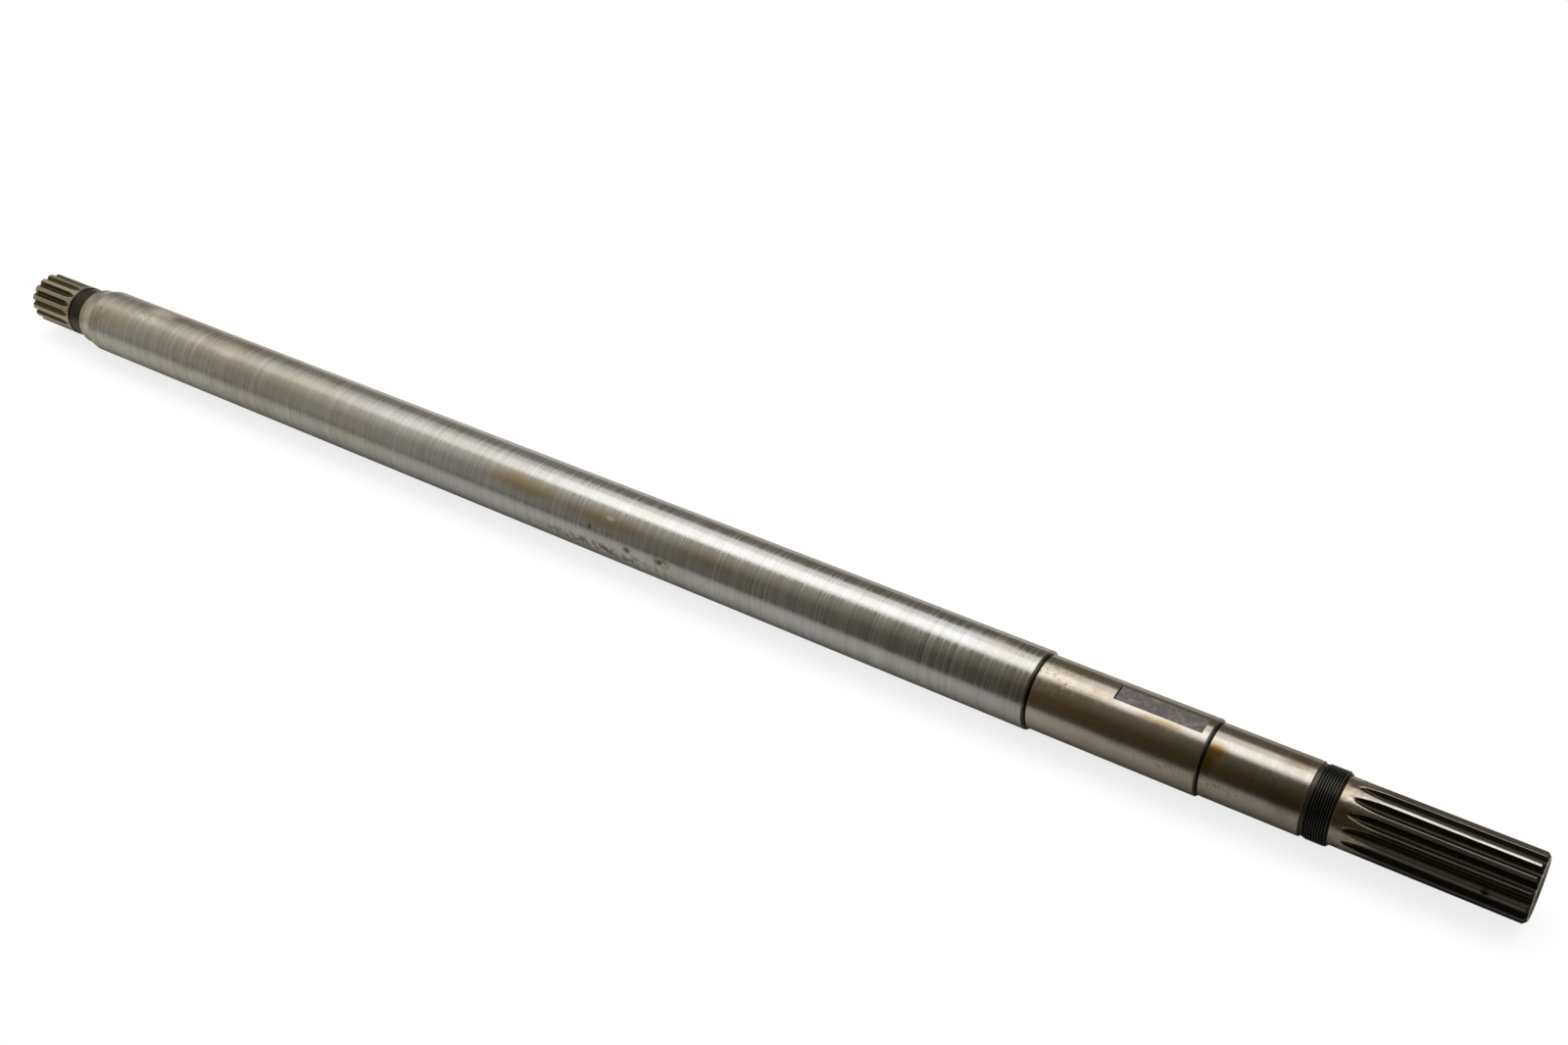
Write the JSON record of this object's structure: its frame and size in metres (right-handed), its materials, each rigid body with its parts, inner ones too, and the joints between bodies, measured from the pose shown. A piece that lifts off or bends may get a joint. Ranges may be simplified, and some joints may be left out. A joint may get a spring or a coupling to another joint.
{
  "type": "drive shaft",
  "caption": "Long ground steel shaft with splined ends, stepped journals, a milled flat and a fine nut thread beside the longer spline.",
  "frame": {"origin": "on the shaft's axis, halfway between the end faces", "axes": "+X along the shaft's axis from the short spline to the long one; +Z is the outward normal of the milled flat"},
  "size_m": [0.8284, 0.034, 0.034],
  "materials": {
    "ground_steel": "satin ground steel with straw-brown stains, near-black in the grooves, thread and tooth spaces"
  },
  "bodies": {
    "root": {"drive_shaft": "ground_steel"}
  },
  "joints": []
}
